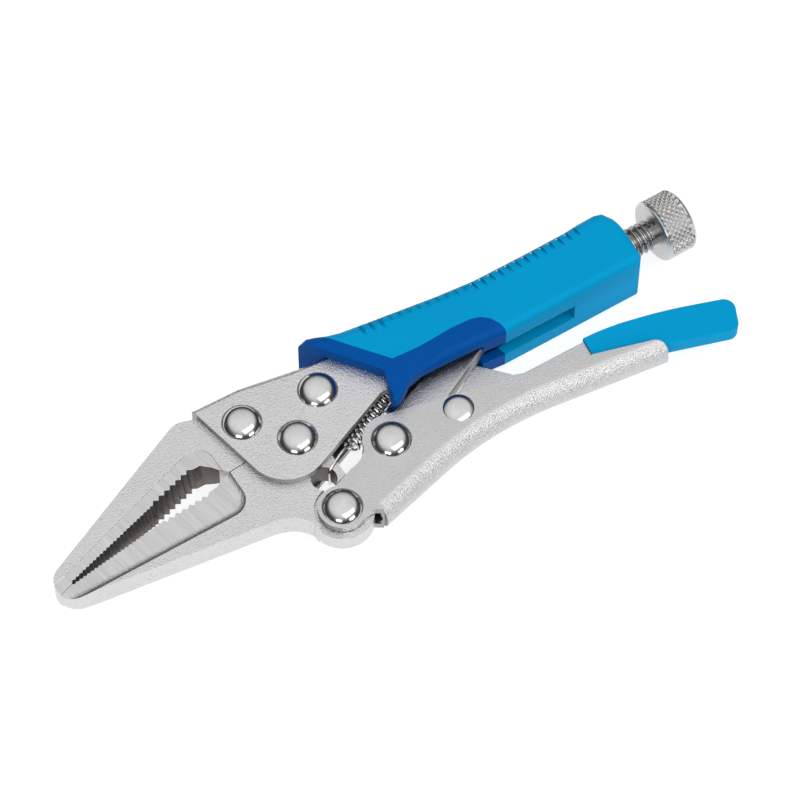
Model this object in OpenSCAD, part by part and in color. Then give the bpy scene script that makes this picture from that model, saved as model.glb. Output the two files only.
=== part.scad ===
// Small long-nose locking pliers, jaws shut and toggle locked.
// The outlines are drawn about the jaw pivot: X runs from the jaw tips to the knob,
// Y towards the upper handle, Z is the thickness. Everything is then moved so that
// the origin is at the middle of the underside.

/* [Pivots] */
// Handle pivot on the moving jaw, from the jaw pivot
handle_pivot = [-0.5, -17.5]; // [-30:0.5:30]
// Pivot of the toggle link on the lower handle
link_pivot = [15.5, -9.6]; // [-30:0.5:30]
// Pivot of the release lever on the lower handle
lever_pivot = [30.4, -10.5]; // [-40:0.5:40]
// Front rivet that holds the fixed jaw
front_rivet = [-7.4, 8.7]; // [-20:0.5:20]
// Rear rivet that holds the fixed jaw
rear_rivet = [9, 7.3]; // [-20:0.5:20]

/* [Jaws] */
// From the jaw pivot to the middle of the round tip
jaw_reach = 51.8; // [40:0.2:70]
// Height of the tip's middle
tip_y = -3.7; // [-6:0.1:0]
// Radius of the round tip
tip_r = 4; // [3:0.1:5]
// Thickness of both jaws
jaw_t = 5.2; // [4:0.1:7]
// Radius of the moving jaw's boss in the head
boss_r = 6.9; // [6:0.1:7.5]
// Radius of the moving jaw's knuckle
knuckle_r = 6.3; // [5.5:0.1:6.6]
// Thickness of the knuckle
knuckle_t = 3.7; // [2.8:0.1:4.5]
// Radius of the hole for the spring's hook
hook_hole_r = 2.6; // [1.5:0.1:3]
// Height of the hook hole's middle
hook_hole_y = -9.9; // [-11:0.1:-9]
// Depth of the ground flats beside the moving jaw's teeth
moving_flat_depth = 0.8; // [0.1:0.1:1.2]
// Depth of the ground flats beside the fixed jaw's teeth
fixed_flat_depth = 0.15; // [0.05:0.05:1]
// Number of coarse teeth at the back of each jaw
coarse_teeth = 7; // [3:1:9]
// Number of fine teeth in front of them
fine_teeth = 24; // [10:1:40]

/* [Sheet metal] */
// Thickness of both handles' sheet
sheet_t = 1.5; // [1:0.1:2]
// Rear end of the upper handle
upper_handle_end = 78.3; // [65:0.5:100]
// Underside of the upper handle's cheeks
upper_low_y = 0.2; // [-1:0.1:1]
// Least height of the upper handle's top behind the head
least_top_y = 11.6; // [11:0.1:14]
// Where the upper handle widens behind the head
joggle_x = 24; // [22:0.5:27]
// Middle of the lower handle's round rear end
lower_handle_end = 70.6; // [60:0.5:90]
// Radius of the lower handle around its link pivot
link_lobe_r = 5.7; // [5:0.1:6]
// Radius of the lower handle around its jaw pivot
pivot_lobe_r = 4.8; // [4.5:0.1:5.2]
// Radius of the arch that the lower handle's back follows
arch_r = 70; // [50:1:80]
// Where the arch starts, on the inside of the lower handle's back
arch_start = [22, -18.1]; // [-30:0.1:30]
// Slope of the lower handle's back before the arch, in degrees
front_slope = 14.3; // [10:0.1:18]
// Slope of the lower handle's back behind the arch, in degrees
rear_slope = -7.5; // [-10:0.1:-4]

/* [Rivets] */
// Radius of the rivets' shanks
rivet_r = 2.4; // [1.8:0.1:2.8]
// Radius of the domed heads
rivet_head_r = 4.05; // [3.2:0.05:4.4]
// Height of the domed heads
rivet_head_h = 1.9; // [1:0.1:2.2]
// Radius of the release lever's low rivet head
low_head_r = 3.1; // [2.6:0.1:3.6]
// Height of the release lever's low rivet head
low_head_h = 0.75; // [0.3:0.05:1.2]
// Gap between each rivet's shank and its holes
running_gap = 0.05; // [0.02:0.01:0.1]
// Gap beside a part that moves between two cheeks
side_gap = 0.05; // [0.02:0.01:0.2]

/* [Toggle] */
// Where the link's tip meets the adjusting screw
toggle_x = 49.5; // [46:0.5:56]
// Height of the screw's axis
screw_y = 5.8; // [4.5:0.1:7]
// Thickness of the link
link_t = 3.6; // [2.5:0.1:4]
// Radius of the link around its pivot
link_big_r = 4; // [3.8:0.1:4.6]
// Radius of the link's tip
link_tip_r = 2.4; // [2:0.1:3]
// Free play left between the link's tip and the screw
toggle_gap = 1.5; // [1.2:0.1:3]

/* [Adjusting screw] */
// Outer radius of the thread
screw_r = 3.175; // [2.5:0.025:3.5]
// Pitch of the thread
screw_pitch = 1.27; // [1:0.01:1.5]
// Depth of the thread
thread_depth = 0.6; // [0.4:0.05:0.8]
// Length of thread that shows behind the grip
bare_thread = 6.4; // [5:0.2:12]
// Wall of the threaded insert
insert_wall = 0.95; // [0.8:0.05:1.2]
// Length of the threaded insert
insert_l = 10; // [6:0.5:14]
// Radius of the knob
knob_r = 6.6; // [5:0.1:6.8]
// Length of the knob
knob_l = 7.1; // [5:0.1:10]
// Radius of the screw's plain end in the knob
stub_r = 2.2; // [1.5:0.1:2.4]
// Length of the screw's plain end in the knob
stub_l = 4; // [2:0.5:5]

/* [Release lever] */
// Thickness of the lever
lever_t = 2.3; // [1.5:0.1:2.6]
// Thickness of the plastic on the lever's tail
dip_wall = 0.6; // [0.4:0.05:0.8]
// Where the plastic starts
dip_x = 59.6; // [55:0.2:66]
// Radius of the lever around its pivot
lever_lobe_r = 3.3; // [3.1:0.1:3.6]

/* [Return spring] */
// Radius of the coil, to the middle of the wire
coil_r = 1.35; // [1:0.05:1.6]
// Radius of the wire
wire_r = 0.3; // [0.2:0.05:0.4]
// Number of turns
spring_turns = 19; // [10:1:24]
// Middle of the anchor pin in the upper handle
anchor = [33.2, 7.7]; // [-20:0.1:40]
// Radius of the anchor pin
anchor_r = 1; // [0.6:0.1:1.2]

/* [Grip] */
// Thickness of the grip beside the widest part of the handle
grip_wall = 1.3; // [1:0.1:2]
// Thickness of the grip behind the handle's end
grip_end_wall = 1.5; // [1:0.1:3]
// Half width of the slot under the grip
slot_half = 2.1; // [2:0.05:2.6]
// Rear end of the slot under the grip
slot_end_x = 63.4; // [58:0.2:66]
// Gap between the grip and the handle
grip_fit = 0.03; // [0.01:0.01:0.1]

/* [Hidden] */
$fn = 64;

// A little more than nothing, so that a cut passes through a face
over = 0.5;
// Gap left where the two jaws meet when they are shut
shut_gap = 0.04;
// Gap around the boss inside the fixed jaw
boss_gap = 0.4;

// Half thicknesses, from the middle plane outwards
jaw_z = jaw_t / 2;
head_in = jaw_z + side_gap;
head_out = head_in + sheet_t;
knuckle_z = knuckle_t / 2;
low_in = max(knuckle_z, link_t / 2, lever_t / 2 + dip_wall) + 3 * side_gap;
low_out = low_in + sheet_t;
bore_r = screw_r + running_gap;
insert_r = bore_r + insert_wall;
rear_in = insert_r + grip_fit;
rear_out = rear_in + sheet_t;
grip_z = rear_out + grip_wall;
upper_top_y = max(least_top_y, screw_y + insert_r + sheet_t + grip_fit);

// Places along the object
tip = [-jaw_reach, tip_y];
grip_end_x = upper_handle_end + grip_end_wall;
knob_x = grip_end_x + bare_thread + 1;
knob_end_x = knob_x + knob_l;
toggle = [toggle_x, screw_y];
hook_hole = [0, hook_hole_y];
web_inner_y = upper_top_y - sheet_t;
slot_start_x = toggle_x - 7.5;

// The head: the round lobe under the jaw pivot and the corners of the plate
head_lobe = [-2.5, 0, 8.2];
head_corner = [-13.1, 15.4, 1];
head_ridge = [-4, 16.1];
head_shoulder = [9, 13.8];
collar_peak = [12.5, 18.2];

// The box that the whole object fills
low_y = handle_pivot.y - knuckle_r;
centre_x = (knob_end_x - jaw_reach - tip_r) / 2;
centre_y = (low_y + collar_peak.y) / 2;

function polar(r, a) = [r * cos(a), r * sin(a)];

// A corner circle stands proud of its straight edges by this hair, so that they cross cleanly
hair = 0.005;
function inset(c) = [c.x, c.y, max(c.z - hair, 0)];

// The two ends of the straight edge that joins circles a and b, on the right of a to b
function straight_edge(a, b) = tangent_edge(inset(a), inset(b));
function tangent_edge(a, b) =
  let (dx = b.x - a.x, dy = b.y - a.y)
  let (n = atan2(dy, dx) - acos((a.z - b.z) / norm([dx, dy])))
  [[a.x, a.y] + polar(a.z, n), [b.x, b.y] + polar(b.z, n)];

// V teeth from p to q, each pointing to the left of the way
function teeth(p, q, count, depth) =
  let (step = (q - p) / count, side = [-step.y, step.x] / norm(step))
  [for (i = [0 : count - 1]) each [p + i * step, p + (i + 0.5) * step + depth * side]];

// Points of an arc
function arc(c, r, a0, a1, count) =
  [for (i = [0 : count]) c + polar(r, a0 + (a1 - a0) * i / count)];

module at_origin() {
  translate([-centre_x, -centre_y, grip_z]) children();
}

// A flat plate of the outline below it, from z to z + t
module plate(z, t) {
  translate([0, 0, z]) linear_extrude(t) children();
}

// The same plate on both sides of the middle plane
module both_sides(z, t) {
  plate(z, t) children();
  plate(-z - t, t) children();
}

// An outline round the circles c, each [x, y, radius], taken anticlockwise
module rounded_outline(c) {
  n = len(c);
  polygon([for (i = [0 : n - 1]) each straight_edge(c[i], c[(i + 1) % n])]);
  for (p = c) if (p.z > 0) translate([p.x, p.y]) circle(p.z);
}

module hole(p, r) {
  translate([p.x, p.y, -grip_z]) cylinder(r = r, h = 2 * grip_z);
}

// A rivet through cheeks whose outer faces are at z, with a domed head at each end
module rivet(p, z, shank_r, head_r, head_h) {
  ball_r = (head_r * head_r + head_h * head_h) / (2 * head_h);
  at_origin() translate([p.x, p.y, 0]) {
    translate([0, 0, -z]) cylinder(r = shank_r, h = 2 * z);
    for (s = [0, 1]) mirror([0, 0, s]) intersection() {
      translate([0, 0, z + head_h - ball_r]) sphere(ball_r, $fn = 96);
      translate([0, 0, z]) cylinder(r = head_r + over, h = head_h + over);
    }
  }
}

// ---- Upper handle: one folded channel, narrow at the head and wider behind it ----

module head_outline() {
  rounded_outline([
    head_corner, head_lobe, [19.2, upper_low_y, 0], [joggle_x + sheet_t, upper_low_y, 0],
    [joggle_x + sheet_t, upper_top_y, 0], [head_shoulder.x, head_shoulder.y, 0],
    [head_ridge.x, head_ridge.y, 0]
  ]);
}

module head_web_band() {
  front = head_corner.x - head_corner.z;
  top = head_corner.y + head_corner.z;
  edge = [[front, top], head_ridge, head_shoulder, [joggle_x + sheet_t, upper_top_y]];
  polygon(concat(edge, [for (i = [3 : -1 : 0]) edge[i] - [0, sheet_t]]));
}

module rear_outline(low, high) {
  translate([joggle_x, low]) square([upper_handle_end - joggle_x, high - low]);
}

module upper_handle() {
  color("silver") at_origin() difference() {
    union() {
      both_sides(head_in, sheet_t) head_outline();
      plate(-head_out, 2 * head_out) intersection() {
        head_outline();
        head_web_band();
      }
      both_sides(rear_in, sheet_t) rear_outline(upper_low_y, upper_top_y);
      plate(-rear_out, 2 * rear_out) rear_outline(web_inner_y, upper_top_y);
      both_sides(head_in, rear_out - head_in)
        translate([joggle_x, upper_low_y]) square([sheet_t, upper_top_y - upper_low_y]);
    }
    for (p = [front_rivet, rear_rivet, [0, 0]]) hole(p, rivet_r + running_gap);
    hole(anchor, anchor_r + running_gap);
  }
}

// A round nut that is pressed and staked in the open end of the channel
module threaded_insert() {
  color("darkgray") at_origin()
    translate([upper_handle_end - insert_l, screw_y, 0]) rotate([0, 90, 0]) difference() {
      cylinder(r = insert_r, h = insert_l);
      translate([0, 0, -over]) cylinder(r = bore_r, h = insert_l + 2 * over);
    }
}

module spring_anchor_pin() {
  color("darkgray") at_origin()
    translate([anchor.x, anchor.y, -rear_out]) cylinder(r = anchor_r, h = 2 * rear_out);
}

// ---- Jaws ----

// Where the jaws touch at the tip, and the back end of the gap on each jaw
bite_front = tip + [-tip_r - 1, -1.7];
bite_back = tip + [-0.7, -0.3];
fixed_gap_mid = [-31, 2.5];
fixed_gap_back = [-20.6, 5.5];
moving_gap_mid = [-31, -1.1];
moving_gap_back = [-20.2, -0.35];
coarse_depth = 0.75;
fine_depth = 0.3;

// All that lies below the fixed jaw, down to a line well under both jaws
module below_fixed_jaw() {
  polygon(concat(
    [[14.5, -30], [14.5, 1.9], [-7, 1.75], [-14.7, 1.2], [-16.2, 2.6], [-17, 3.7], [-18.9, 5.5]],
    teeth(fixed_gap_back, fixed_gap_mid, coarse_teeth, -coarse_depth),
    teeth(fixed_gap_mid, bite_back, fine_teeth, -fine_depth),
    [bite_back, bite_front, [bite_front.x, -30]]
  ));
  circle(boss_r + boss_gap);
}

// How far the fixed jaw's top lies under the top of the head's folded edge
under_web = sheet_t + 0.15;

module fixed_jaw_outline() {
  difference() {
    rounded_outline([
      [tip.x, tip.y, tip_r], [13.5, -12, 0], [13.5, web_inner_y + 1, 0],
      [head_shoulder.x, head_shoulder.y - under_web, 0],
      [head_ridge.x, head_ridge.y - under_web, 0],
      [head_corner.x - 0.4, head_corner.y + head_corner.z - under_web, 0], [-18, 11.5, 4.5]
    ]);
    below_fixed_jaw();
  }
}

module fixed_jaw() {
  color("lightgray") at_origin() difference() {
    plate(-jaw_z, jaw_t) fixed_jaw_outline();
    both_sides(jaw_z - fixed_flat_depth, over) rounded_outline([
      [tip.x - 2 * tip_r, tip.y - 10, 0], [-15.8, -10, 0], [-19.2, 5.7, 3.4],
      [tip.x - 1, tip.y + 1.7, 0], [tip.x - 2 * tip_r, tip.y, 0]
    ]);
    for (p = [front_rivet, rear_rivet]) hole(p, rivet_r + running_gap);
  }
}

// All that lies above the moving jaw's arm
module above_moving_jaw() {
  polygon(concat(
    [[bite_front.x, 30], bite_front - [0, shut_gap], bite_back - [0, shut_gap]],
    teeth(bite_back - [0, shut_gap], moving_gap_mid, fine_teeth, -fine_depth),
    teeth(moving_gap_mid, moving_gap_back, coarse_teeth, -coarse_depth),
    [moving_gap_back, [-18.3, -0.1], [-16.4, 1], [-14.7, 1], [-7, 1.5], [0, 1.5], [0, 30]]
  ));
}

module moving_jaw_outline() {
  difference() {
    polygon([
      straight_edge([tip.x, tip.y, tip_r], [-13, -13, 0])[0], [-13, -13], handle_pivot - [8, 0.6],
      handle_pivot + [0, -1], handle_pivot + [knuckle_r - 1.2, 0.5], [4.1, -11], [4, -5.2],
      [0, 0], [0, 1.5], [0, 30], [tip.x, 30], [tip.x, tip.y]
    ]);
    above_moving_jaw();
    translate([-13.6, -20.7]) circle(7.6);
  }
  difference() {
    translate(tip) circle(tip_r);
    above_moving_jaw();
  }
  circle(boss_r);
  translate(handle_pivot) circle(knuckle_r);
}

// The knuckle is pressed thinner, so that the lower handle's cheeks fit beside it
module knuckle_recess() {
  p = handle_pivot;
  translate(p) circle(pivot_lobe_r + 0.7);
  polygon([
    p + [-9, -1.6], p + [-pivot_lobe_r, -1.1], p + [0, pivot_lobe_r], p + [5, 6.4], p + [10, 8.5],
    p + [10, -9], p + [-9, -9]
  ]);
}

module moving_jaw() {
  color("lightgray") at_origin() difference() {
    plate(-jaw_z, jaw_t) moving_jaw_outline();
    both_sides(knuckle_z, jaw_z) knuckle_recess();
    both_sides(jaw_z - moving_flat_depth, over + moving_flat_depth) rounded_outline([
      [tip.x - 2 * tip_r, tip.y - 2.6, 0], [-18.9, -3.7, 2.6], [-16.9, 1.2, 0.6], [-20, 10, 0],
      [tip.x - 2 * tip_r, 10, 0]
    ]);
    hole([0, 0], rivet_r + running_gap);
    hole(handle_pivot, rivet_r + running_gap);
    hole(hook_hole, hook_hole_r);
  }
}

// ---- Lower handle: a channel with a round back, swept along a straight, an arch and a straight ----

lower_depth = 20;
web_x = handle_pivot.x + 6.4;
front_l = (arch_start.x - web_x) / cos(front_slope);
rear_l = lower_handle_end + 5 - arch_start.x - arch_r * (sin(front_slope) - sin(rear_slope));

// The section, with sheet that is thicker by 2 * extra
module channel_section(extra = 0) {
  r_out = low_out + extra;
  r_in = low_in - extra;
  difference() {
    union() {
      translate([low_out, 0]) circle(r_out);
      translate([low_out, -r_out]) square([lower_depth, 2 * r_out]);
    }
    translate([low_out, 0]) circle(r_in);
    translate([low_out, -r_in]) square([lower_depth + over, 2 * r_in]);
  }
}

module swept_channel() {
  turn = front_slope - rear_slope;
  translate([arch_start.x, arch_start.y - sheet_t, 0]) rotate([0, 0, front_slope]) {
    // the front length is thicker by a hair and swallows the arch's start
    translate([-front_l, 0, 0]) rotate([90, 0, 90])
      linear_extrude(front_l + over) channel_section(2 * hair);
    translate([0, -arch_r, 0]) rotate([0, 0, 90 - turn]) {
      rotate_extrude(angle = turn) translate([arch_r, 0]) channel_section();
      translate([arch_r, 0, 0]) rotate([90, 0, 0]) linear_extrude(rear_l) channel_section();
    }
  }
}

// The hollow between the lower handle's two lobes
throat = [4.9, -5.2];
throat_r = 6;
// The rounded rear end of its cheeks
tail_end = [lower_handle_end, -20, 2.6];

// The cheeks' outline; the back is left to the sweep
module lower_outline() {
  p = handle_pivot;
  difference() {
    polygon(concat(
      [p, p + [-0.5, 0.5 - pivot_lobe_r], p + [2.9, -3.9], p + [5, -3.9], p + [6.5, -4.9]],
      [p + [6.5, -9]],
      straight_edge([lower_handle_end - 2, -24.6, 0], tail_end),
      straight_edge(tail_end, [60, -14.2, 0]),
      [link_pivot + [1.2, link_lobe_r - 0.15], link_pivot, link_pivot + [-4.9, 2.3]],
      [p + [5.5, 6.15], p + [1.3, pivot_lobe_r - 0.2]]
    ));
    translate(throat) circle(throat_r);
  }
  translate([tail_end.x, tail_end.y]) circle(tail_end.z);
  translate(link_pivot) circle(link_lobe_r);
  translate(p) circle(pivot_lobe_r);
}

module lower_handle() {
  color("silver") at_origin() difference() {
    intersection() {
      union() {
        swept_channel();
        // the flat cheeks in front of the folded back
        both_sides(low_in, sheet_t) translate([-20, -25]) square([web_x + 20, 25]);
      }
      plate(-grip_z, 2 * grip_z) lower_outline();
    }
    for (p = [handle_pivot, link_pivot, lever_pivot]) hole(p, rivet_r + running_gap);
  }
}

module toggle_link() {
  color("gray") at_origin() difference() {
    plate(-link_t / 2, link_t) rounded_outline([
      [link_pivot.x, link_pivot.y, link_big_r], [toggle.x - link_tip_r, toggle.y - 1, link_tip_r]
    ]);
    hole(link_pivot, rivet_r + running_gap);
  }
}

// ---- Release lever ----

// The tail's hollow corner, where its underside bends down
tail_bend = [68.5, -16.6];
// The tail's other corners, each [x, y, radius]
tail = [
  [87.2, -21, 1.6], [88.4, -18, 1.8], [78, -12.5, 0], [66.5, -9.8, 0], [59, -9.4, 0],
  [46.5, -9.3, 0]
];

module tail_outline(grow) {
  rounded_outline(concat(
    [[46, -15.2, grow], [tail_bend.x, tail_bend.y - grow, 0]],
    [for (p = tail) [p.x, p.y, p.z + grow]]
  ));
}

module release_lever() {
  color("silver") at_origin() difference() {
    // the lobe, the tail, and the nose that pushes the link
    plate(-lever_t / 2, lever_t) rounded_outline(concat(
      [[lever_pivot.x, lever_pivot.y, lever_lobe_r], [46, -15.2, 0], [tail_bend.x, tail_bend.y, 0]],
      tail, [[44.6, -8.6, 0], [39.1, -3.5, 0.7], [33.2, -6.2, 0]]
    ));
    hole(lever_pivot, rivet_r + running_gap);
  }
}

module lever_dip() {
  color("deepskyblue") at_origin() difference() {
    plate(-lever_t / 2 - dip_wall, lever_t + 2 * dip_wall) intersection() {
      tail_outline(dip_wall);
      polygon([[dip_x - 1.4, -30], [100, -30], [100, 0], [dip_x + 2, 0]]);
    }
    plate(-lever_t / 2, lever_t) tail_outline(0);
  }
}

// ---- Adjusting screw ----

module adjusting_screw() {
  start = toggle_x + toggle_gap;
  root_r = screw_r - thread_depth;
  turns = floor((knob_x - 1 - start - screw_r) / screw_pitch);
  thread_start = knob_x - 1 - turns * screw_pitch;
  color("gray") at_origin() translate([0, screw_y, 0]) rotate([0, 90, 0]) rotate_extrude()
    polygon(concat(
      [[0, start], [root_r - 0.6, start], [root_r, start + 0.6]],
      [for (i = [0 : turns - 1]) each [
        [root_r, thread_start + i * screw_pitch],
        [screw_r, thread_start + (i + 0.4) * screw_pitch],
        [screw_r, thread_start + (i + 0.6) * screw_pitch]
      ]],
      [[root_r, knob_x - 1], [root_r, knob_x - side_gap], [stub_r, knob_x - side_gap],
        [stub_r, knob_x + stub_l], [0, knob_x + stub_l]]
    ));
}

module screw_knob() {
  chamfer = 0.8;
  bore = stub_r + running_gap;
  color("gray") at_origin() translate([knob_x, screw_y, 0]) rotate([0, 90, 0]) rotate_extrude()
    polygon([
      [bore, 0], [knob_r - chamfer / 2, 0], [knob_r, chamfer / 2], [knob_r, knob_l - 2 * chamfer],
      [knob_r - chamfer, knob_l - chamfer / 2], [knob_r - 3 * chamfer, knob_l], [0, knob_l],
      [0, stub_l + side_gap], [bore, stub_l + side_gap]
    ]);
}

// ---- Return spring: hooked in the moving jaw's hole and on the anchor pin ----

spring_way = anchor - hook_hole;
spring_slope = atan2(spring_way.y, spring_way.x);
coil_from = 9.8;
coil_to = norm(spring_way) - anchor_r - 2.6;

// One corner of the wire's ring: t is in turns, a goes round the wire
function coil_corner(t, a) =
  let (r = coil_r + wire_r * cos(a), rise = (coil_to - coil_from) / spring_turns)
  [coil_from + t * rise + wire_r * sin(a), r * sin(360 * t), r * cos(360 * t)];

module coil() {
  per_turn = 12;
  sides = 6;
  rings = spring_turns * per_turn;
  points = [for (i = [0 : rings], k = [0 : sides - 1]) coil_corner(i / per_turn, 360 * k / sides)];
  walls = [for (i = [0 : rings - 1], k = [0 : sides - 1])
    let (a = i * sides + k, b = i * sides + (k + 1) % sides)
    each [[a, a + sides, b], [b, a + sides, b + sides]]];
  ends = [
    [for (k = [0 : sides - 1]) k],
    [for (k = [sides - 1 : -1 : 0]) rings * sides + k]
  ];
  polyhedron(points, concat(walls, ends));
}

// A straight wire along the spring from x0 to x1, or upright from z0 to z1
module lying_wire(x0, x1, z) {
  translate([x0, 0, z]) rotate([0, 90, 0]) cylinder(r = wire_r, h = x1 - x0, $fn = 24);
}

module upright_wire(x, z0, z1) {
  translate([x, 0, z0]) cylinder(r = wire_r, h = z1 - z0, $fn = 24);
}

// The low end crosses the jaw's face and drops into its hole; the high end rings the pin
module return_spring() {
  hook_x = hook_hole_r - 2 * wire_r;
  face_z = jaw_z + wire_r + side_gap;
  ring_r = anchor_r + 2 * wire_r;
  reach = norm(spring_way);
  color("dimgray") at_origin() translate([0, hook_hole_y, 0]) rotate([0, 0, spring_slope]) {
    coil();
    upright_wire(hook_x, -jaw_z, face_z);
    lying_wire(hook_x - wire_r, coil_from + wire_r, face_z);
    upright_wire(coil_from, coil_r - wire_r, face_z);
    upright_wire(coil_to, 0, coil_r + wire_r);
    lying_wire(coil_to - wire_r, reach - ring_r, 0);
    translate([reach, 0, 0])
      rotate_extrude($fn = 48) translate([ring_r, 0]) circle(wire_r, $fn = 24);
  }
}

// ---- Grip: a dark collar with side wings, and the lighter sleeve behind it ----

module grip_outline() {
  polygon([
    [19.2, -4.2], [21.3, -4], [24.5, -1.8], [28, -1], [41, -1.4], [47, -2],
    [grip_end_x - 1.5, -2], [grip_end_x, -0.6], [grip_end_x, upper_top_y - 0.4],
    [grip_end_x - 1.6, upper_top_y + 1.2], [grip_end_x - 6.8, upper_top_y + 1.1],
    [grip_end_x - 10, upper_top_y + 0.8], [48, upper_top_y + 0.7], [32, 14.1], [19.2, 15.9],
    [14.4, 17.6], collar_peak, [10.4, 17.3], [21.6, 2.8]
  ]);
}

// The part of the grip that the collar takes
module collar_region() {
  polygon(concat(
    [[0, -10], [48, -10]],
    arc([42, -1.2], 5, 0, 90, 8),
    [[24.4, 3.8], [13.6, 18.6], [13, 30], [0, 30]]
  ));
}

// The handle and the room for the link, which the grip leaves free
module grip_hollow() {
  plate(-head_out - grip_fit, 2 * (head_out + grip_fit))
    polygon([
      [0, -10], [slot_start_x, -10], [slot_start_x, upper_low_y],
      [joggle_x + sheet_t, upper_low_y], [joggle_x + sheet_t, upper_top_y + grip_fit],
      [head_shoulder.x, head_shoulder.y + grip_fit], [0, 16.1]
    ]);
  plate(-rear_out - grip_fit, 2 * (rear_out + grip_fit))
    translate([joggle_x - grip_fit, upper_low_y - grip_fit])
      square([upper_handle_end - joggle_x + 2 * grip_fit, upper_top_y - upper_low_y + 2 * grip_fit]);
  plate(-slot_half, 2 * slot_half) translate([slot_start_x - over, -10])
    square([slot_end_x - slot_start_x + over, 10 + upper_low_y]);
  translate([upper_handle_end - over, screw_y, 0]) rotate([0, 90, 0])
    cylinder(r = bore_r + 0.2, h = grip_end_wall + 2 * over);
}

module grip_collar() {
  color("mediumblue") at_origin() difference() {
    plate(-grip_z, 2 * grip_z) intersection() {
      grip_outline();
      collar_region();
    }
    grip_hollow();
  }
}

module grip_sleeve() {
  color("deepskyblue") at_origin() difference() {
    plate(-grip_z, 2 * grip_z) difference() {
      grip_outline();
      collar_region();
    }
    grip_hollow();
  }
}

module front_jaw_rivet() {
  color("gainsboro") rivet(front_rivet, head_out, rivet_r, rivet_head_r, rivet_head_h);
}

module rear_jaw_rivet() {
  color("gainsboro") rivet(rear_rivet, head_out, rivet_r, rivet_head_r, rivet_head_h);
}

module jaw_pivot_rivet() {
  color("gainsboro") rivet([0, 0], head_out, rivet_r, rivet_head_r, rivet_head_h);
}

module handle_pivot_rivet() {
  color("gainsboro") rivet(handle_pivot, low_out, rivet_r, rivet_head_r, rivet_head_h);
}

module link_rivet() {
  color("gainsboro") rivet(link_pivot, low_out + 2 * hair, rivet_r, rivet_head_r, rivet_head_h);
}

module lever_rivet() {
  color("gainsboro") rivet(lever_pivot, low_out, rivet_r, low_head_r, low_head_h);
}

upper_handle();
threaded_insert();
fixed_jaw();
front_jaw_rivet();
rear_jaw_rivet();
jaw_pivot_rivet();
spring_anchor_pin();
grip_collar();
grip_sleeve();
return_spring();
moving_jaw();
lower_handle();
handle_pivot_rivet();
link_rivet();
lever_rivet();
toggle_link();
release_lever();
lever_dip();
adjusting_screw();
screw_knob();
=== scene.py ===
import math

import bpy
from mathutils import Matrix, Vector


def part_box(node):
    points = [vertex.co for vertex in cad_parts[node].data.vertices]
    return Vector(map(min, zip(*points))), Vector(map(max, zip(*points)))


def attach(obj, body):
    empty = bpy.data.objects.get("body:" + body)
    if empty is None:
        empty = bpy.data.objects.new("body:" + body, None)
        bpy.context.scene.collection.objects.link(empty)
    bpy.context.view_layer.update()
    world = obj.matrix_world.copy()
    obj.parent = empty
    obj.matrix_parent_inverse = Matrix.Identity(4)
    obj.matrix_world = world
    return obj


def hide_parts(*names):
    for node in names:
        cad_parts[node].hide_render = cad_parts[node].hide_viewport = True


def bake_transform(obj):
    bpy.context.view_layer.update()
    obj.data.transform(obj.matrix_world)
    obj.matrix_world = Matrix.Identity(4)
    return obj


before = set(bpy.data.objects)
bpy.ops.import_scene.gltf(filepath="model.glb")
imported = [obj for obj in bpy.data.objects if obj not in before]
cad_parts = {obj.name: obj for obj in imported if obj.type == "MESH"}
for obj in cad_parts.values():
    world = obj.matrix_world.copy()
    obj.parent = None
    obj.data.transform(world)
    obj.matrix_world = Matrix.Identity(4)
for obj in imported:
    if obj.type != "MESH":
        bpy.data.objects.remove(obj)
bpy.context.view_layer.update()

# ---- Camera, floor and light ----
# The pliers lie on one side on a plain white table. A long lens looks down at them from
# the jaw side, and two soft panels in front and a broad one overhead light the plating.

MM = 0.001
low, high = (Vector(corner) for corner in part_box("jaw_pivot_rivet"))
PIVOT = (low + high) / 2


def at(x, y, z=0.0):
    """A place given in millimetres from the middle of the jaw pivot."""
    return PIVOT + Vector((x, y, z)) * MM


azimuth, elevation, distance = math.radians(-32), math.radians(58), 0.7
VIEW_RATIO = 4.50625  # the lens's length over its sensor's width
toward_lens = Vector((
    math.sin(azimuth) * math.cos(elevation),
    -math.cos(azimuth) * math.cos(elevation),
    math.sin(elevation),
))
sideways = Vector((math.cos(azimuth), math.sin(azimuth), 0))
upright = toward_lens.cross(sideways)
lens_data = bpy.data.cameras.new("long_lens")
lens_data.sensor_width = 36
lens_data.lens = lens_data.sensor_width * VIEW_RATIO
lens_data.clip_start, lens_data.clip_end = 0.05, 20
lens = bpy.data.objects.new("long_lens", lens_data)
bpy.context.scene.collection.objects.link(lens)
aim = at(0, 0, 4.2) + (sideways * 19.903 + upright * 7.243) * MM
lens.location = aim + toward_lens * distance
lens.rotation_euler = toward_lens.to_track_quat("Z", "Y").to_euler()
bpy.context.scene.camera = lens

bpy.context.scene.view_settings.view_transform = "Standard"

bpy.ops.object.select_all(action="DESELECT")
bpy.ops.mesh.primitive_plane_add(size=6, location=(0, 0, 0))
table = bpy.context.object
table.name = "table"
white = bpy.data.materials.new("white_table")
white.use_nodes = True
table_shader = white.node_tree.nodes["Principled BSDF"].inputs
table_shader["Base Color"].default_value = (0.35, 0.35, 0.35, 1)
table_shader["Roughness"].default_value = 0.9
table_shader["Specular IOR Level"].default_value = 0.1
table_shader["Emission Color"].default_value = (1, 1, 1, 1)
table_shader["Emission Strength"].default_value = 0.78
table.data.materials.append(white)


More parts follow.
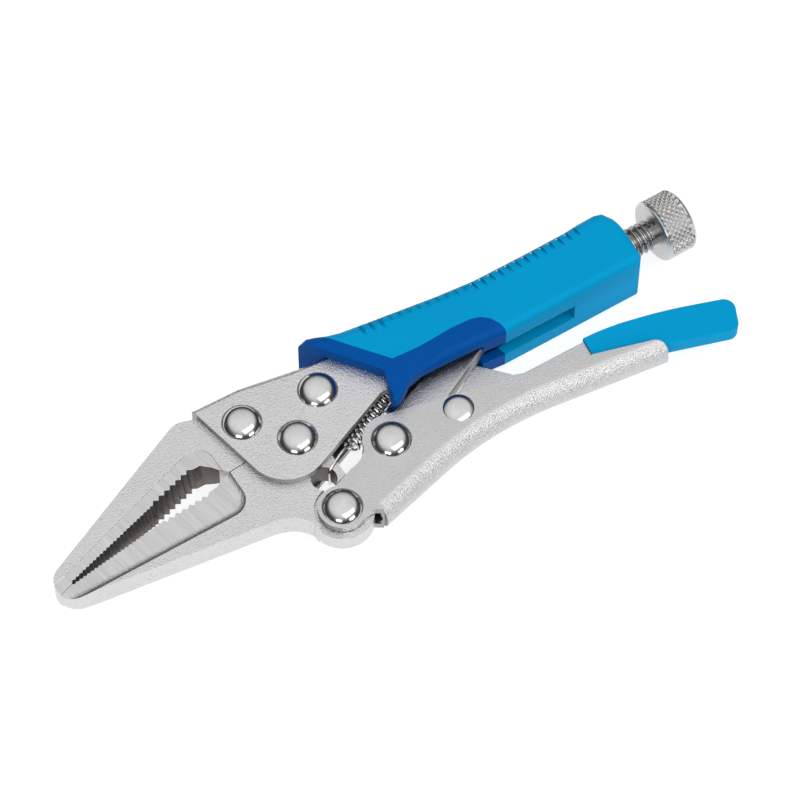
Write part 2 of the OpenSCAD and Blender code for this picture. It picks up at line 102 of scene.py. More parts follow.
def panel(name, place, size, brightness, target=(0, 0, 0)):
    """A soft rectangular light that faces the target."""
    data = bpy.data.lights.new(name, "AREA")
    data.shape = "RECTANGLE"
    data.size, data.size_y = size
    data.energy = brightness * size[0] * size[1] * math.pi
    light = bpy.data.objects.new(name, data)
    bpy.context.scene.collection.objects.link(light)
    light.location = place
    light.rotation_euler = (Vector(place) - Vector(target)).to_track_quat("Z", "Y").to_euler()


panel("front_top", (0.16, -0.5, 0.72), (0.95, 0.5), 1.9)
panel("front_left", (-0.56, -0.5, 0.3), (0.36, 0.16), 3.6)
panel("front_right", (0.2, -0.74, 0.28), (0.36, 0.16), 3.6)

# The room is bright overhead and dim low down all round, which gives the plating its contrast.
SKY_SHADES = ((0.0, 0.03), (0.38, 0.08), (0.66, 0.75), (1.0, 1.0))
room = bpy.data.worlds.new("room")
room.use_nodes = True
sky = room.node_tree
direction = sky.nodes.new("ShaderNodeTexCoord")
facing = sky.nodes.new("ShaderNodeSeparateXYZ")
ramp = sky.nodes.new("ShaderNodeValToRGB")
for _ in SKY_SHADES[2:]:
    ramp.color_ramp.elements.new(0.5)
for element, (height, shade) in zip(ramp.color_ramp.elements, SKY_SHADES):
    element.position, element.color = height, (shade, shade, shade, 1)
sky.links.new(direction.outputs["Generated"], facing.inputs["Vector"])
sky.links.new(facing.outputs["Z"], ramp.inputs["Fac"])
sky.links.new(ramp.outputs["Color"], sky.nodes["Background"].inputs["Color"])
sky.nodes["Background"].inputs["Strength"].default_value = 1.18
bpy.context.scene.world = room

# ---- Upper handle ----
# One channel folded from 1.5 mm steel sheet, satin nickel plated. Its head plates hold the
# jaws between them, and its narrow back is folded with a round edge.


class Wire:
    """A socket of a material; sums and products of wires add the Math nodes."""

    def __init__(self, tree, socket):
        self.tree, self.socket = tree, socket

    def math(self, operation, other=None, swapped=False):
        node = self.tree.nodes.new("ShaderNodeMath")
        node.operation = operation
        ends = [self, other] if other is not None else [self]
        for slot, value in zip(node.inputs, reversed(ends) if swapped else ends):
            if isinstance(value, Wire):
                self.tree.links.new(value.socket, slot)
            else:
                slot.default_value = value
        return Wire(self.tree, node.outputs[0])

    def __add__(self, other):
        return self.math("ADD", other)

    def __sub__(self, other):
        return self.math("SUBTRACT", other)

    def __rsub__(self, other):
        return self.math("SUBTRACT", other, swapped=True)

    def __mul__(self, other):
        return self.math("MULTIPLY", other)

    __radd__, __rmul__ = __add__, __mul__


class Finish:
    """A material that is built by wiring nodes onto one Principled shader."""

    def __init__(self, name, **constants):
        self.material = bpy.data.materials.new(name)
        self.material.use_nodes = True
        self.tree = self.material.node_tree
        self.shader = self.tree.nodes["Principled BSDF"]
        for key, value in constants.items():
            self.shader.inputs[key.replace("_", " ")].default_value = value
        self.place = self.node("ShaderNodeTexCoord", output="Object")

    def node(self, kind, settings=None, output=0, **sockets):
        """Any other node; sockets are given by name, or by number as _0, _1 and so on."""
        made = self.tree.nodes.new(kind)
        for key, value in (settings or {}).items():
            setattr(made, key, value)
        for key, value in sockets.items():
            slot = made.inputs[int(key[1:]) if key[1:].isdigit() else key.replace("_", " ")]
            if isinstance(value, Wire):
                self.tree.links.new(value.socket, slot)
            else:
                slot.default_value = value
        return Wire(self.tree, made.outputs[output])

    def noise(self, scale, detail=2, stretch=(1, 1, 1), turn=0.0, rough=0.5):
        """Noise with that many grains a metre; stretch draws the grains out."""
        place = self.place
        if stretch != (1, 1, 1) or turn:
            turned = self.node("ShaderNodeMapping", Vector=self.place, Rotation=(0, 0, -turn))
            place = self.node("ShaderNodeMapping", Vector=turned, Scale=stretch)
        return self.node(
            "ShaderNodeTexNoise", Vector=place, Scale=scale, Detail=detail, Roughness=rough
        )

    def mix(self, factor, one, other):
        """A colour between two colours."""
        return self.node(
            "ShaderNodeMix", {"data_type": "RGBA"}, output=2, _0=factor, _6=one, _7=other
        )

    def bump(self, height, depth, strength=1.0):
        """A normal that follows the height, which is as deep as that in metres."""
        return self.node("ShaderNodeBump", Height=height, Distance=depth, Strength=strength)

    def feed(self, name, wire):
        self.tree.links.new(wire.socket, self.shader.inputs[name])

    def onto(self, obj):
        obj.data.materials.clear()
        obj.data.materials.append(self.material)


def plated_sheet(name, grain, shade, rough, depth=0.00012):
    """Satin nickel plate over sheet steel: a pebbled grain, small pits and faint clouds."""
    finish = Finish(name, Metallic=1.0)
    clouds = finish.noise(140, 4, rough=0.6)
    pebbles = finish.noise(grain, 3, rough=0.6)
    pits = finish.node("ShaderNodeMapRange", Value=finish.noise(grain * 0.6, 2, rough=0.7),
                       From_Min=0.62, From_Max=0.72)
    low_shade = tuple(c * 0.8 for c in shade)
    plate = finish.mix(clouds * 0.6 + pebbles * 0.4, (*low_shade, 1), (*shade, 1))
    finish.feed("Base Color", finish.mix(pits * 0.5, plate, (*(c * 0.5 for c in shade), 1)))
    finish.feed("Roughness", clouds * 0.12 + pebbles * 0.12 + (rough - 0.12))
    finish.feed("Normal", finish.bump(pebbles, depth))
    return finish


def work_on(obj):
    bpy.ops.object.select_all(action="DESELECT")
    bpy.context.view_layer.objects.active = obj
    obj.select_set(True)


def choose(obj, kind, test):
    """Goes into edit mode with only the vertices or edges that pass the test selected."""
    work_on(obj)
    bpy.ops.object.mode_set(mode="EDIT")
    bpy.ops.mesh.select_mode(type=kind)
    bpy.ops.mesh.select_all(action="DESELECT")
    bpy.ops.object.mode_set(mode="OBJECT")
    mesh = obj.data
    if kind == "EDGE":
        for edge in mesh.edges:
            edge.select = test(*((mesh.vertices[i].co - PIVOT) / MM for i in edge.vertices))
    else:
        for vertex in mesh.vertices:
            vertex.select = test((vertex.co - PIVOT) / MM)
    bpy.ops.object.mode_set(mode="EDIT")


def leave():
    bpy.ops.object.mode_set(mode="OBJECT")


MERGE = 0.000002  # vertices nearer than this are one


def merge_all(obj, distance=MERGE, test=lambda place: True):
    choose(obj, "VERT", test)
    bpy.ops.mesh.remove_doubles(threshold=distance)
    leave()


def copy_of(node, name):
    """A copy of a CAD node's mesh, merged, with each flat made one face again."""
    made = bpy.data.objects.new(name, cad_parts[node].data.copy())
    bpy.context.scene.collection.objects.link(made)
    choose(made, "VERT", lambda place: True)
    bpy.ops.mesh.remove_doubles(threshold=MERGE)
    bpy.ops.mesh.dissolve_limited(angle_limit=math.radians(0.5))
    leave()
    return made


def smooth(obj, angle=40):
    """Shades the round parts smooth and keeps the flats flat."""
    work_on(obj)
    bpy.ops.object.shade_smooth_by_angle(angle=math.radians(angle))
    flats = obj.modifiers.new("flats", "WEIGHTED_NORMAL")
    flats.keep_sharp = True
    bpy.ops.object.modifier_apply(modifier="flats")


def soften(obj, width, segments=3, angle=28):
    """Rounds every edge that is still sharp by a width in millimetres, and smooths the shading."""
    work_on(obj)
    edges = obj.modifiers.new("edges", "BEVEL")
    edges.width, edges.segments = width * MM, segments
    edges.limit_method, edges.angle_limit = "ANGLE", math.radians(angle)
    edges.miter_outer = "MITER_ARC"
    bpy.ops.object.modifier_apply(modifier="edges")
    smooth(obj)


def seat(obj, body, node):
    """Puts the piece on its body in place of the CAD node."""
    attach(obj, body)
    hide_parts(node)


def finish_piece(obj, finish, body, node):
    finish.onto(obj)
    seat(obj, body, node)


nickel = plated_sheet("satin_nickel", 2900, (0.72, 0.715, 0.72), 0.28, 0.00013)

# The channels' insides and the sheared edges are painted darker than the faces: painted shade,
# where shade falls in the channels and along the edges.
inside = plated_sheet("channel_inside_painted_shade", 2400, (0.2, 0.19, 0.185), 0.4, 0.0001)
edge_painted_shade = plated_sheet("sheared_edge_painted_shade", 3600, (0.4, 0.39, 0.385), 0.34, 0.00012)


# Slots for the painted shade inside the channels, the painted shade on the sheared edges, and the
# fold's finish.
SHADED_INSIDE, EDGE, FOLD = 1, 2, 3


def sheet_finishes(obj, face_finish, other_faces=None, shaded_edge=lambda place, normal: True):
    """Plates a channel, with painted shade on its inside and on its sheared edges where the test
    says.
    """
    obj.data.materials.clear()
    for finish in (face_finish, inside, edge_painted_shade, other_faces or face_finish):
        obj.data.materials.append(finish.material)
    for face in obj.data.polygons:
        place, normal = (face.center - PIVOT) / MM, face.normal
        # Faces that look into the channel get the painted shade.
        if place.z * normal.z < 0 and abs(normal.z) > 0.3:
            face.material_index = SHADED_INSIDE
        # Sheared edges that pass the test get the painted shade.
        elif abs(normal.z) < 0.85 and shaded_edge(place, normal):
            face.material_index = EDGE
        elif abs(normal.z) < 0.97:
            face.material_index = FOLD


def on_fold(a, b):
    """True for the long edges along the head's folded top, on both outer faces."""
    low = min(a.y, b.y)
    along = abs(abs(a.z) - HEAD_HALF) < 0.01 and abs(a.z - b.z) < 0.01 and abs(a.x - b.x) > 2
    return along and low > 11.3 and low > 16.3 - 0.27 * (max(a.x, b.x) + 14)


# Half the head's thickness, the folded edge's radius, and the corner where the fold is cut off
HEAD_HALF, FOLD_R, FOLD_CORNER = 4.15, 1.3, (-14.25, 16.42)

upper = copy_of("upper_handle", "upper_handle_channel")
for vertex in upper.data.vertices:
    x, y, z = (vertex.co - PIVOT) / MM
    if x < -12.9 and y > 15.2:
        vertex.co = at(*FOLD_CORNER, z)
merge_all(upper)
choose(upper, "EDGE", on_fold)
bpy.ops.mesh.bevel(offset=FOLD_R * MM, segments=6, profile=0.5, affect="EDGES")
leave()
soften(upper, 0.2)
finish_piece(upper, nickel, "upper_body", "upper_handle")
# Its inside and its sheared edges at the head get painted shade.
sheet_finishes(upper, nickel, shaded_edge=lambda place, normal: normal.y < 0.3 and place.x < 12)

insert = copy_of("threaded_insert", "screw_insert")
soften(insert, 0.15, 2)
finish_piece(insert, nickel, "upper_body", "threaded_insert")

pin = copy_of("spring_anchor_pin", "spring_pin")
soften(pin, 0.1, 2)
finish_piece(pin, nickel, "upper_body", "spring_anchor_pin")

# ---- Jaws ----
# Two forged jaws ground flat beside their teeth. The moving one's flats are milled with a
# round-nosed cutter, which leaves a cove along their edge. Both are satin plated.


ground = Finish("ground_flats", Metallic=1.0)
clouds = ground.noise(110, 3)
strokes = ground.noise(2400, 3, (1, 0.03, 1), math.radians(12), 0.7)
broad = ground.noise(420, 2, (1, 0.04, 1), math.radians(12), 0.6)
ground.feed("Base Color", ground.mix(
    strokes * 0.7 + broad * 0.3, (0.3, 0.295, 0.29, 1), (0.86, 0.855, 0.86, 1)))
ground.feed("Roughness", strokes * 0.2 + clouds * 0.1 + 0.2)
ground.feed("Normal", ground.bump(strokes, 0.00005, 0.8))

# The teeth's walls and the hook hole's wall are painted dark, as painted shade for the shadow in
# the jaws' gap and in the hole, with cutting marks over it.
teeth_painted_shade = Finish("toothed_walls_painted_shade", Metallic=0.9)
marks = teeth_painted_shade.noise(1400, 2, (1, 1, 0.04), 0, 0.6)
teeth_painted_shade.feed("Base Color", teeth_painted_shade.mix(marks, (0.09, 0.082, 0.075, 1), (0.26, 0.245, 0.23, 1)))
teeth_painted_shade.feed("Roughness", marks * 0.2 + 0.35)
teeth_painted_shade.feed("Normal", teeth_painted_shade.bump(marks, 0.00006, 0.8))


HOOK_HOLE = (0, -9.9)
FLAT, SHADED_WALL = 1, 2


def jaw_finishes(obj, floor_z):
    """Plates the jaw, gives its flats their own finish, and paints its teeth and its hook hole's
    wall dark as painted shade.
    """
    obj.data.materials.clear()
    for finish in (nickel, ground, teeth_painted_shade):
        obj.data.materials.append(finish.material)
    for face in obj.data.polygons:
        place = (face.center - PIVOT) / MM
        in_gap = -54 < place.x < -16.2 and abs(face.normal.z) < 0.6
        rim = 1.0 + 0.17 * (place.x + 52) if place.x < -20 else 9
        in_hole = math.hypot(place.x - HOOK_HOLE[0], place.y - HOOK_HOLE[1]) < 2.7
        if abs(face.normal.z) > 0.9 and abs(abs(place.z) - floor_z) < 0.03:
            face.material_index = FLAT
        # Painted shade on the toothed walls in the gap between the jaws.
        elif in_gap and -4.4 < place.y < min(rim, 8.2) and abs(face.normal.y) > 0.05:
            face.material_index = SHADED_WALL
        # Painted shade on the hook hole's wall.
        elif abs(face.normal.z) < 0.6 and in_hole:
            face.material_index = SHADED_WALL


def draft_teeth(obj, line, shift):
    """Slopes the toothed wall, so that its lower edge stands out by the shift."""
    for vertex in obj.data.vertices:
        x, y, z = (vertex.co - PIVOT) / MM
        for (x0, y0), (x1, y1) in zip(line, line[1:]):
            if z < 0 and x0 <= x <= x1 and abs(y - y0 - (y1 - y0) * (x - x0) / (x1 - x0)) < 1:
                vertex.co.y += shift * MM * min(1, (x + 50) / 20, (-16 - x) / 2)
                break


fixed = copy_of("fixed_jaw", "fixed_jaw_blade")
draft_teeth(fixed, ((-50, -3), (-31, 2.5), (-20.6, 5.5), (-18.9, 5.5), (-16.6, 3.3)), -1.7)
soften(fixed, 0.1, 2)
jaw_finishes(fixed, 2.45)
seat(fixed, "upper_body", "fixed_jaw")

moving = copy_of("moving_jaw", "moving_jaw_blade")
draft_teeth(moving, ((-50, -3.6), (-31, -1.1), (-20.2, -0.35), (-16.4, 1)), 1.0)
cove_block, cove_back, cove_low, cove_floor = (50, 22, 3), -14.2, -8.4, 1.802
for side in (1, -1):
    bpy.ops.object.select_all(action="DESELECT")
    bpy.ops.mesh.primitive_cube_add(size=1)
    cutter = bpy.context.object
    cutter.scale = Vector(cove_block) * MM
    cutter.location = at(cove_back - cove_block[0] / 2, cove_low + cove_block[1] / 2,
                         side * (cove_floor + cove_block[2] / 2))
    bpy.ops.object.transform_apply(location=True, rotation=True, scale=True)
    choose(cutter, "EDGE", lambda a, b: min(a.x, b.x) > -15 and max(a.y, b.y) < -8)
    bpy.ops.mesh.bevel(offset=4.5 * MM, segments=12, affect="EDGES")
    leave()
    choose(cutter, "EDGE", lambda a, b: max(abs(a.z), abs(b.z)) < 1.9
           and (max(a.y, b.y) < 10 or min(a.x, b.x) > -15) and max(a.x, b.x) > -60)
    bpy.ops.mesh.bevel(offset=2.1 * MM, segments=10, affect="EDGES")
    leave()
    work_on(moving)
    cove = moving.modifiers.new("cove", "BOOLEAN")
    cove.object, cove.operation, cove.solver = cutter, "DIFFERENCE", "EXACT"
    bpy.ops.object.modifier_apply(modifier="cove")
    bpy.data.objects.remove(cutter)
soften(moving, 0.12, 2)
jaw_finishes(moving, 1.8)
seat(moving, "jaw_body", "moving_jaw")

# ---- Lower handle ----
# A second channel, folded round at its back and nickel plated. The fold stretches the sheet,
# which leaves a coarser grain there than on the cheeks.

coarse_nickel = plated_sheet("grained_nickel", 2600, (0.66, 0.65, 0.66), 0.14, 0.00026)
fine_nickel = plated_sheet("fine_nickel", 3800, (0.64, 0.635, 0.64), 0.25, 0.0001)
lower = copy_of("lower_handle", "lower_handle_channel")
soften(lower, 0.2, angle=32)
finish_piece(lower, fine_nickel, "handle_body", "lower_handle")
# Its inside and its sheared edges get painted shade; its other side faces get the coarser grain.
sheet_finishes(lower, fine_nickel, coarse_nickel, lambda place, normal: (
    normal.y > 0.1 or place.x < 12 and normal.x < -0.5))

# ---- Rivets ----
# Steel rivets with bright domed heads, closed on both sides. The release lever's is low.

bright = Finish("bright_plate", Metallic=1.0)
smear = bright.noise(500, 3)
scuffs = bright.noise(9000, 1)
bright.feed("Base Color", bright.mix(smear, (0.5, 0.5, 0.51, 1), (0.66, 0.66, 0.66, 1)))
bright.feed("Roughness", smear * 0.14 + 0.07)
bright.feed("Normal", bright.bump(scuffs, 0.00001, 0.2))


def draw_line(places, name):
    """One vertex, drawn along the places by extruding."""
    bpy.ops.object.select_all(action="DESELECT")
    bpy.ops.mesh.primitive_plane_add(size=0.001, location=places[0])
    line = bpy.context.object
    line.name = name
    bpy.ops.object.transform_apply(location=True, rotation=True, scale=True)
    bpy.ops.object.mode_set(mode="EDIT")
    bpy.ops.mesh.select_mode(type="VERT")
    bpy.ops.mesh.merge(type="CENTER")
    for start, end in zip(places, places[1:]):
        bpy.ops.mesh.extrude_region_move(
            TRANSFORM_OT_translate={"value": tuple(Vector(end) - Vector(start))})
    return line


# How steep the head is, in degrees, at equal steps from its crown to its rim
HEAD_SLOPES = (2, 4, 6, 8, 10, 13, 17, 23, 31, 39, 45, 49, 52, 55, 59, 66)


def rivet(node, name, body, head_r, head_h, shank_r=2.4):
    """A round shank with a crowned head on each end, spun from the head's outline."""
    lo, hi = (Vector(corner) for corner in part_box(node))
    middle = (lo + hi) / 2
    half = (hi.z - lo.z) / 2 / MM - head_h
    run = sum(math.cos(math.radians(a)) for a in HEAD_SLOPES)
    fall = sum(math.sin(math.radians(a)) for a in HEAD_SLOPES)
    outline = [Vector((0, 0, half + head_h))]
    for a in HEAD_SLOPES:
        outline.append(outline[-1] + Vector((
            math.cos(math.radians(a)) * head_r / run, 0,
            -math.sin(math.radians(a)) * head_h / fall)))
    outline += [Vector((shank_r, 0, half)), Vector((shank_r, 0, -half))]
    outline += [Vector((p.x, 0, -p.z)) for p in reversed(outline[:-2])]
    made = draw_line([middle + p * MM for p in outline], name)
    bpy.ops.mesh.select_all(action="SELECT")
    bpy.ops.mesh.spin(steps=64, angle=math.tau, center=middle, axis=(0, 0, 1))
    bpy.ops.mesh.select_all(action="SELECT")
    bpy.ops.mesh.remove_doubles(threshold=MERGE)
    bpy.ops.mesh.normals_make_consistent(inside=False)
    leave()
    work_on(made)
    bpy.ops.object.shade_smooth_by_angle(angle=math.radians(30))
    finish_piece(made, bright, body, node)


for node, body in (
    ("front_jaw_rivet", "upper_body"), ("rear_jaw_rivet", "upper_body"),
    ("jaw_pivot_rivet", "upper_body"), ("handle_pivot_rivet", "handle_body"),
    ("link_rivet", "handle_body"),
):
    rivet(node, node + "_domed", body, 4.05, 1.9)
rivet("lever_rivet", "lever_rivet_low", "handle_body", 3.1, 0.75)

# ---- Toggle link and release lever ----
# Both are stamped from thick sheet and plated, with slightly rolled edges. The link's
# sheared edges are painted darker, as painted shade along them.

link = copy_of("toggle_link", "toggle_link_bar")
soften(link, 0.2)
finish_piece(link, fine_nickel, "link_body", "toggle_link")
# Its sheared edges get painted shade.
sheet_finishes(link, fine_nickel)

lever = copy_of("release_lever", "release_lever_blade")
soften(lever, 0.25)
finish_piece(lever, fine_nickel, "lever_body", "release_lever")

# The lever's tail is dipped in soft plastic, which rounds all its edges. The top line's two
# small bends are widened first, so that they run round.

LIGHT = (0.0, 0.31, 0.60)


def moulded(name, shade, rough, grain):
    """Matt moulded plastic with a fine spark-eroded grain and faint clouds."""
    finish = Finish(name)
    finish.shader.inputs["Specular IOR Level"].default_value = 0.04
    clouds = finish.noise(60, 3)
    pebbles = finish.noise(grain, 2, rough=0.6)
    darker = tuple(c * 0.9 for c in shade)
    finish.feed("Base Color", finish.mix(clouds, (*darker, 1), (*shade, 1)))
    finish.feed("Roughness", clouds * 0.12 + (rough - 0.06))
    finish.feed("Normal", finish.bump(pebbles, 0.00003, 0.3))
    return finish


light_plastic = moulded("light_blue_grip", LIGHT, 0.5, 5200)
dip = copy_of("lever_dip", "lever_tail_dip")
merge_all(dip, 0.4 * MM, lambda place: 63 < place.x < 81 and place.y > -14)
choose(dip, "EDGE", lambda a, b: a.z * b.z < 0 and min(abs(a.z), abs(b.z)) > 1.6
       and 63 < a.x < 81 and a.y > -14)
bpy.ops.mesh.bevel(offset=4 * MM, segments=6, affect="EDGES")
leave()
soften(dip, 1.4, 7)
finish_piece(dip, light_plastic, "lever_body", "lever_dip")

# ---- Adjusting screw and knob ----
# A quarter-inch screw with a real helical thread, and a knob with a diamond knurl.

zinc = plated_sheet("zinc_plate", 3200, (0.64, 0.635, 0.63), 0.28, 0.00004)
oiled = plated_sheet("oiled_thread", 3200, (0.34, 0.33, 0.32), 0.2, 0.00004)
lo, hi = (Vector(corner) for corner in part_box("adjusting_screw"))
axis = (lo + hi) / 2
root, crest, pitch = 2.575, 3.175, 1.27
turns = int((hi.x - lo.x) / MM / pitch) - 3
screw = draw_line([
    Vector((x * pitch, 0, r)) * MM
    for x, r in ((0, root), (0.32, crest), (0.5, crest), (0.86, root), (1, root))
], "adjusting_screw_thread")
leave()
work_on(screw)
bpy.ops.object.transform_apply(location=True, rotation=True, scale=True)
helix = screw.modifiers.new("helix", "SCREW")
helix.axis, helix.angle, helix.steps, helix.render_steps = "X", math.tau, 40, 40
helix.screw_offset, helix.iterations = pitch * MM, turns
helix.use_merge_vertices, helix.merge_threshold = True, 0.000001
bpy.ops.object.modifier_apply(modifier="helix")
screw.location = (hi.x - (turns + 1) * pitch * MM - 4 * MM, axis.y, axis.z)
bpy.ops.object.transform_apply(location=True, rotation=True, scale=True)
bpy.ops.object.mode_set(mode="EDIT")
bpy.ops.mesh.select_all(action="SELECT")
bpy.ops.mesh.remove_doubles(threshold=MERGE)
bpy.ops.mesh.select_all(action="DESELECT")
bpy.ops.mesh.select_mode(type="EDGE")
bpy.ops.mesh.select_non_manifold(extend=False)
bpy.ops.mesh.edge_face_add()
bpy.ops.mesh.select_all(action="SELECT")
bpy.ops.mesh.normals_make_consistent(inside=False)
leave()
bpy.ops.mesh.primitive_cylinder_add(
    vertices=48, radius=root * MM * 0.999, depth=(hi.x - lo.x), location=(axis.x, axis.y, axis.z),
    rotation=(0, math.pi / 2, 0))
core = bpy.context.object
bpy.ops.object.transform_apply(location=True, rotation=True, scale=True)
screw.select_set(True)
bpy.context.view_layer.objects.active = screw
bpy.ops.object.join()
bpy.ops.object.shade_smooth_by_angle(angle=math.radians(35))
finish_piece(screw, oiled, "screw_body", "adjusting_screw")

lo, hi = (Vector(corner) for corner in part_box("screw_knob"))
middle, knob_r, knob_l = (lo + hi) / 2, (hi.y - lo.y) / 2, hi.x - lo.x
front_edge, back_edge = 0.9, 1.2
sides, rings, groove_share = 60, 8, 0.075
bpy.ops.object.select_all(action="DESELECT")
bpy.ops.mesh.primitive_cylinder_add(
    vertices=sides, radius=knob_r, depth=knob_l, location=middle, rotation=(0, math.pi / 2, 0))
knob = bpy.context.object
knob.name = "screw_knob_knurled"
bpy.ops.object.transform_apply(location=True, rotation=True, scale=True)
front, back = ((corner - PIVOT).x / MM for corner in (lo, hi))
for end, width, segments in ((front, front_edge, 4), (back, back_edge, 5)):
    choose(knob, "EDGE", lambda a, b: abs(a.x - end) < 0.01 and abs(b.x - end) < 0.01)
    bpy.ops.mesh.bevel(offset=width * MM, segments=segments, affect="EDGES")
    leave()
step = (knob_l / MM - front_edge - back_edge) / rings
for k in range(1, rings):
    choose(knob, "VERT", lambda place: True)
    bpy.ops.mesh.bisect(
        plane_co=(lo.x + (front_edge + k * step) * MM, 0, 0), plane_no=(1, 0, 0))
    leave()


def in_groove(place):
    """True for every second corner of the rolled part's grid, in a draughtboard pattern."""
    turn = math.atan2(place.z, place.y - (middle - PIVOT).y / MM)
    row = (place.x - front - front_edge) / step
    rolled = -0.01 < row < rings + 0.01
    return rolled and (round(row) + round(turn * sides / math.tau)) % 2 == 1


choose(knob, "VERT", in_groove)
bpy.ops.mesh.vert_connect()
leave()
for vertex in knob.data.vertices:
    if in_groove((vertex.co - PIVOT) / MM):
        vertex.co.y += (middle.y - vertex.co.y) * groove_share
        vertex.co.z += (middle.z - vertex.co.z) * groove_share
smooth(knob, 14)
finish_piece(knob, zinc, "knob_body", "screw_knob")

# ---- Return spring ----
# A close coil of plain spring wire. One hook crosses the moving jaw's face and drops into
# its hole; the other end rings the pin inside the upper handle.

hook_hole, spring_pin = at(*HOOK_HOLE), at(33.2, 7.7)
way = spring_pin - hook_hole
reach = way.length / MM
ahead = way.normalized()
left = Vector((-ahead.y, ahead.x, 0))
wire_r, coil_r, coil_turns, coil_from, coil_to = 0.31, 1.45, 18, 9.8, reach - 3.6


def on_spring(s, w, h):
    """A place that far along the spring from its hole, to its left and up, in millimetres."""
    return hook_hole + (ahead * s + left * w + Vector((0, 0, h))) * MM


route = [on_spring(2.0, 0, -2.4), on_spring(2.0, 0, 1.8), on_spring(2.1, 0, 2.6),
         on_spring(2.5, 0, 2.93), on_spring(3.2, 0, 2.95), on_spring(6.2, 0, 2.95),
         on_spring(7.6, 0, 2.75), on_spring(8.8, 0, 2.1), on_spring(9.5, 0, 1.55)]
steps = 20
for i in range(coil_turns * steps + 1):
    a = math.tau * i / steps
    s = coil_from + (coil_to - coil_from) * i / (coil_turns * steps)
    route.append(on_spring(s, coil_r * math.sin(a), coil_r * math.cos(a)))
route += [on_spring(coil_to + 0.5, 0, 0.7), on_spring(coil_to + 0.9, 0, 0)]
ring_r, ring_steps = 1.6, 14
for i in range(ring_steps - 1):
    a = math.pi + math.tau * i / ring_steps
    route.append(on_spring(reach + ring_r * math.cos(a), ring_r * math.sin(a), 0))
wire_curve = bpy.data.curves.new("spring_wire", "CURVE")
wire_curve.dimensions, wire_curve.bevel_depth, wire_curve.bevel_resolution = "3D", wire_r * MM, 3
wire_curve.use_fill_caps = True
path = wire_curve.splines.new("POLY")
path.points.add(len(route) - 1)
for point, place in zip(path.points, route):
    point.co = (*place, 1)
spring = bpy.data.objects.new("return_spring_coil", wire_curve)
bpy.context.scene.collection.objects.link(spring)
work_on(spring)
bpy.ops.object.convert(target="MESH")
spring = bpy.context.object
bpy.ops.object.shade_smooth()
steel_wire = Finish("spring_wire", Metallic=1.0)
drawn = steel_wire.noise(3000, 2)
steel_wire.feed("Base Color", steel_wire.mix(drawn, (0.66, 0.66, 0.66, 1), (0.88, 0.88, 0.88, 1)))
steel_wire.feed("Roughness", drawn * 0.15 + 0.15)
steel_wire.onto(spring)
on_spring(reach, 0, 0)
on_spring(2.0, 0, 0)
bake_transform(spring)
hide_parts("return_spring")

# ---- Grip ----
# A two-shot moulded grip: a dark collar with a front lip and side wings, and a lighter
# sleeve with thumb grooves along its back.

DARK = (0.0, 0.078, 0.34)
dark_plastic = moulded("dark_blue_grip", DARK, 0.42, 5200)
half_z = (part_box("grip_sleeve")[1][2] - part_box("grip_sleeve")[0][2]) / 2 / MM
back_line = (
    (10.7, 17.55), (12.6, 18.1), (14.4, 17.55), (16.6, 16.6), (19.2, 15.85),
    (25, 15.05), (32, 14.1), (40, 13.05), (48, 12.3), (60, 12.25), (69.8, 12.35), (73, 12.65),
    (77.2, 12.75), (79, 12.2), (79.75, 10.9),
)
belly_line = (
    (79.8, -0.8), (78.9, -1.95), (60, -2), (47, -2), (41, -1.4), (34, -1.1), (28, -1),
    (24.5, -1.8), (22.4, -3.3), (21.2, -4.05), (19.9, -4.3), (19.25, -3.7), (20.4, -0.8),
    (21.55, 2.8),
)


def slab(outline, half, name):
    """A flat block with the outline given, as deep on both sides of the middle."""
    made = draw_line([at(x, y, -half) for x, y in outline], name)
    bpy.ops.mesh.select_all(action="SELECT")
    bpy.ops.mesh.edge_face_add()
    bpy.ops.mesh.extrude_region_move(TRANSFORM_OT_translate={"value": (0, 0, 2 * half * MM)})
    bpy.ops.mesh.select_all(action="SELECT")
    bpy.ops.mesh.normals_make_consistent(inside=False)
    leave()
    return made


def cut(obj, tool, operation="DIFFERENCE", keep=False):
    """Cuts the piece by the tool, and then removes the tool unless it is kept."""
    work_on(obj)
    step = obj.modifiers.new("cut", "BOOLEAN")
    step.object, step.operation, step.solver = tool, operation, "MANIFOLD"
    bpy.ops.object.modifier_apply(modifier="cut")
    if not keep:
        bpy.data.objects.remove(tool)


BACK_EDGE_R = 2.9
blank = slab(back_line + belly_line, half_z, "grip_blank")
for width, segments, along in (
    (BACK_EDGE_R, 9, lambda x, y: y > 10.8),
    (1.7, 6, lambda x, y: x > 79 and y <= 10.95 or y < -0.4 and x > 27.5),
    (0.7, 4, lambda x, y: x < 27.9 and y < 2.7),
):
    choose(blank, "EDGE", lambda a, b: min(abs(a.z), abs(b.z)) > half_z - 0.01
           and a.z * b.z > 0 and along(a.x, a.y) and along(b.x, b.y))
    bpy.ops.mesh.bevel(offset=width * MM, segments=segments, affect="EDGES")
    leave()

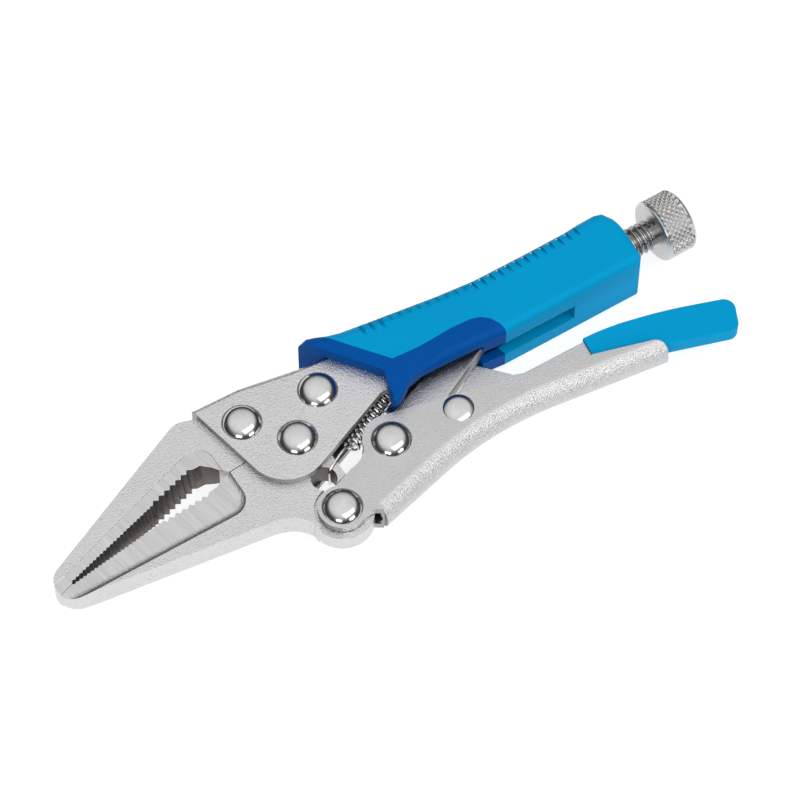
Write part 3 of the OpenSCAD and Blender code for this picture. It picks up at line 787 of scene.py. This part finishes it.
# The rooms inside for the head, the wide part of the handle and the slot, then the screw's hole
for outline, deep in (
    (((0, -10), (42, -10), (42, 0.2), (25.5, 0.2), (25.5, 11.63), (9, 13.83), (0, 16.1)), 4.18),
    (((23.97, 0.17), (78.33, 0.17), (78.33, 11.63), (23.97, 11.63)), 5.735),
    (((41.5, -10), (63.4, -10), (63.4, 0.2), (41.5, 0.2)), 2.1),
):
    cut(blank, slab(outline, deep, "room"))
bpy.ops.object.select_all(action="DESELECT")
SCREW_HOLE_R = 3.425
bpy.ops.mesh.primitive_cylinder_add(
    vertices=48, radius=SCREW_HOLE_R * MM, depth=3 * MM, location=at(79, 5.8),
    rotation=(0, math.pi / 2, 0))
cut(blank, bpy.context.object)

# The dark shot covers the front, and a strip along each side of the underside's edge.
dark_line = (
    (0, -10), (46.9, -10), (46.95, -1.5), (46.6, 0), (45.7, 1.9), (44.2, 3.2), (42.3, 3.85),
    (38, 4.1), (34, 3.9), (30.6, 3.75), (27, 3.95), (24.3, 4.2), (18.9, 11.2), (13.6, 18.6),
    (13, 30), (0, 30),
)
region = slab(dark_line, 12, "dark_region")
sleeve = blank
sleeve.name = "grip_sleeve_shell"
collar = sleeve.copy()
collar.data = sleeve.data.copy()
collar.name = "grip_collar_shell"
bpy.context.scene.collection.objects.link(collar)
cut(collar, region, "INTERSECT", keep=True)
cut(sleeve, region)
for shot in (collar, sleeve):
    soften(shot, 0.3, angle=35)

# The grooves are notches cut across the rounded edges of the back.
notch_from, notch_pitch, notch_size, notch_tilt = 22.8, 2.03, (0.75, 5, 1.6), math.radians(26)
bpy.ops.object.select_all(action="DESELECT")
notches = []
for k in range(25):
    x = notch_from + k * notch_pitch
    (x0, y0), (x1, y1) = next(p for p in zip(back_line, back_line[1:]) if p[0][0] <= x < p[1][0])
    back = y0 + (y1 - y0) * (x - x0) / (x1 - x0)
    deep = 0.75 if k < 3 else 0.35 if x < 47 else 0.6
    for side in (1, -1):
        bpy.ops.mesh.primitive_cube_add(size=1)
        notch = bpy.context.object
        notch.scale = Vector(notch_size) * MM
        out = BACK_EDGE_R - deep + notch_size[2] / 2
        notch.location = at(x, back - BACK_EDGE_R + out * math.sin(notch_tilt),
                            side * (half_z - BACK_EDGE_R + out * math.cos(notch_tilt)))
        notch.rotation_euler = (-side * notch_tilt, 0, 0)
        notches.append(notch)
for notch in notches:
    notch.select_set(True)
bpy.context.view_layer.objects.active = notches[0]
bpy.ops.object.transform_apply(location=True, rotation=True, scale=True)
bpy.ops.object.join()
cut(sleeve, notches[0])
smooth(sleeve)
finish_piece(collar, dark_plastic, "upper_body", "grip_collar")
finish_piece(sleeve, light_plastic, "upper_body", "grip_sleeve")
